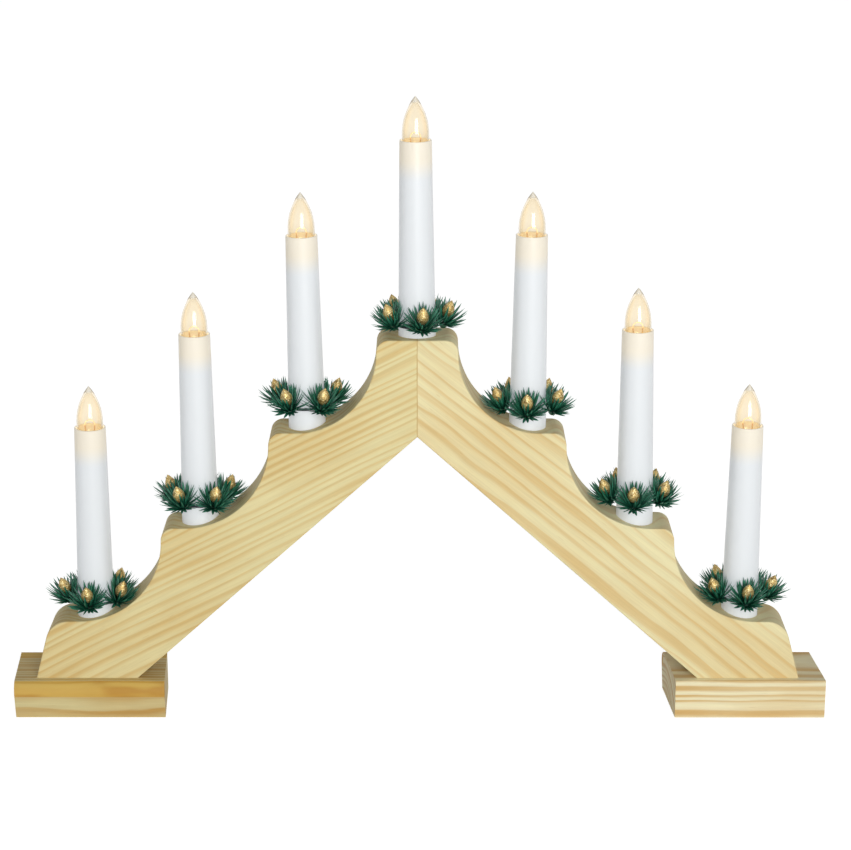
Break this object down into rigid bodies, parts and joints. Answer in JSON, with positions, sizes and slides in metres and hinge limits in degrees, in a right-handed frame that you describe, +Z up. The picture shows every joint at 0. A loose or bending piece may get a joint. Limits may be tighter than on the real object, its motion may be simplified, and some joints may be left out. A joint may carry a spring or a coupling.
{
  "type": "candle arch",
  "caption": "Pine candle arch with stepped arms on two foot blocks, white electric candles with flame bulbs, and green needle wreaths with gold buds.",
  "frame": {"origin": "middle of the arch at the height of the feet's undersides, in the plane of the candles", "axes": "+X towards the right end seen from the front, +Y towards the back, +Z up; the front looks along -Y"},
  "size_m": [0.4026, 0.0493, 0.3059],
  "materials": {
    "left_arm_pine": "clear satin varnish on pine",
    "right_arm_pine": "clear satin varnish on pine",
    "left_foot_pine": "glossy varnish on pine",
    "right_foot_pine": "clear satin varnish on pine",
    "dowel_beech": "plain",
    "screw_steel": "yellow zinc plated",
    "staple_steel": "bright",
    "wire_insulation": "smooth",
    "holder_plastic": "smooth",
    "socket_brass": "bright",
    "contact_brass": "bright",
    "candle_plastic": "satin, slightly translucent",
    "bulb_glass": "clear, lit warm",
    "cap_brass": "bright",
    "filament_wire": "glowing",
    "ring_wire": "satin",
    "needle_plastic": "satin",
    "bud_gold": "gold paint with glitter"
  },
  "bodies": {
    "arch": {"left_arm": "left_arm_pine", "right_arm": "right_arm_pine", "left_foot": "left_foot_pine", "right_foot": "right_foot_pine", "mitre_dowels": "dowel_beech", "foot_screws": "screw_steel", "wire_staples": "staple_steel", "wiring": "wire_insulation", "lamp_holders": "holder_plastic", "socket_shells": "socket_brass", "centre_contacts": "contact_brass", "candle_tube_1": "candle_plastic", "candle_tube_2": "candle_plastic", "candle_tube_3": "candle_plastic", "candle_tube_4": "candle_plastic", "candle_tube_5": "candle_plastic", "candle_tube_6": "candle_plastic", "candle_tube_7": "candle_plastic"},
    "bulb_1": {"bulb_glass_1": "bulb_glass", "bulb_cap_1": "cap_brass", "bulb_filament_1": "filament_wire"},
    "wreath_1": {"wreath_ring_1": "ring_wire", "wreath_needles_1": "needle_plastic", "wreath_buds_1": "bud_gold"},
    "bulb_2": {"bulb_glass_2": "bulb_glass", "bulb_cap_2": "cap_brass", "bulb_filament_2": "filament_wire"},
    "wreath_2": {"wreath_ring_2": "ring_wire", "wreath_needles_2": "needle_plastic", "wreath_buds_2": "bud_gold"},
    "bulb_3": {"bulb_glass_3": "bulb_glass", "bulb_cap_3": "cap_brass", "bulb_filament_3": "filament_wire"},
    "wreath_3": {"wreath_ring_3": "ring_wire", "wreath_needles_3": "needle_plastic", "wreath_buds_3": "bud_gold"},
    "bulb_4": {"bulb_glass_4": "bulb_glass", "bulb_cap_4": "cap_brass", "bulb_filament_4": "filament_wire"},
    "wreath_4": {"wreath_ring_4": "ring_wire", "wreath_needles_4": "needle_plastic", "wreath_buds_4": "bud_gold"},
    "bulb_5": {"bulb_glass_5": "bulb_glass", "bulb_cap_5": "cap_brass", "bulb_filament_5": "filament_wire"},
    "wreath_5": {"wreath_ring_5": "ring_wire", "wreath_needles_5": "needle_plastic", "wreath_buds_5": "bud_gold"},
    "bulb_6": {"bulb_glass_6": "bulb_glass", "bulb_cap_6": "cap_brass", "bulb_filament_6": "filament_wire"},
    "wreath_6": {"wreath_ring_6": "ring_wire", "wreath_needles_6": "needle_plastic", "wreath_buds_6": "bud_gold"},
    "bulb_7": {"bulb_glass_7": "bulb_glass", "bulb_cap_7": "cap_brass", "bulb_filament_7": "filament_wire"},
    "wreath_7": {"wreath_ring_7": "ring_wire", "wreath_needles_7": "needle_plastic", "wreath_buds_7": "bud_gold"}
  },
  "joints": [
    {"name": "bulb_1_unscrew", "type": "slide", "parent": "arch", "child": "bulb_1", "axis": [0.007, 0, 1], "range_m": [0, 0.009]},
    {"name": "bulb_2_unscrew", "type": "slide", "parent": "arch", "child": "bulb_2", "axis": [-0.0052, 0, 1], "range_m": [0, 0.009]},
    {"name": "bulb_3_unscrew", "type": "slide", "parent": "arch", "child": "bulb_3", "axis": [-0.0157, 0, 0.9999], "range_m": [0, 0.009]},
    {"name": "bulb_4_unscrew", "type": "slide", "parent": "arch", "child": "bulb_4", "axis": [-0.007, 0, 1], "range_m": [0, 0.009]},
    {"name": "bulb_5_unscrew", "type": "slide", "parent": "arch", "child": "bulb_5", "axis": [0.0105, 0, 0.9999], "range_m": [0, 0.009]},
    {"name": "bulb_6_unscrew", "type": "slide", "parent": "arch", "child": "bulb_6", "axis": [-0.007, 0, 1], "range_m": [0, 0.009]},
    {"name": "bulb_7_unscrew", "type": "slide", "parent": "arch", "child": "bulb_7", "axis": [0.0052, 0, 1], "range_m": [0, 0.009]},
    {"name": "wreath_1_lift", "type": "slide", "parent": "arch", "child": "wreath_1", "axis": [0.007, 0, 1], "range_m": [0, 0.116]},
    {"name": "wreath_2_lift", "type": "slide", "parent": "arch", "child": "wreath_2", "axis": [-0.0052, 0, 1], "range_m": [0, 0.116]},
    {"name": "wreath_3_lift", "type": "slide", "parent": "arch", "child": "wreath_3", "axis": [-0.0157, 0, 0.9999], "range_m": [0, 0.116]},
    {"name": "wreath_4_lift", "type": "slide", "parent": "arch", "child": "wreath_4", "axis": [-0.007, 0, 1], "range_m": [0, 0.116]},
    {"name": "wreath_5_lift", "type": "slide", "parent": "arch", "child": "wreath_5", "axis": [0.0105, 0, 0.9999], "range_m": [0, 0.116]},
    {"name": "wreath_6_lift", "type": "slide", "parent": "arch", "child": "wreath_6", "axis": [-0.007, 0, 1], "range_m": [0, 0.116]},
    {"name": "wreath_7_lift", "type": "slide", "parent": "arch", "child": "wreath_7", "axis": [0.0052, 0, 1], "range_m": [0, 0.116]}
  ]
}
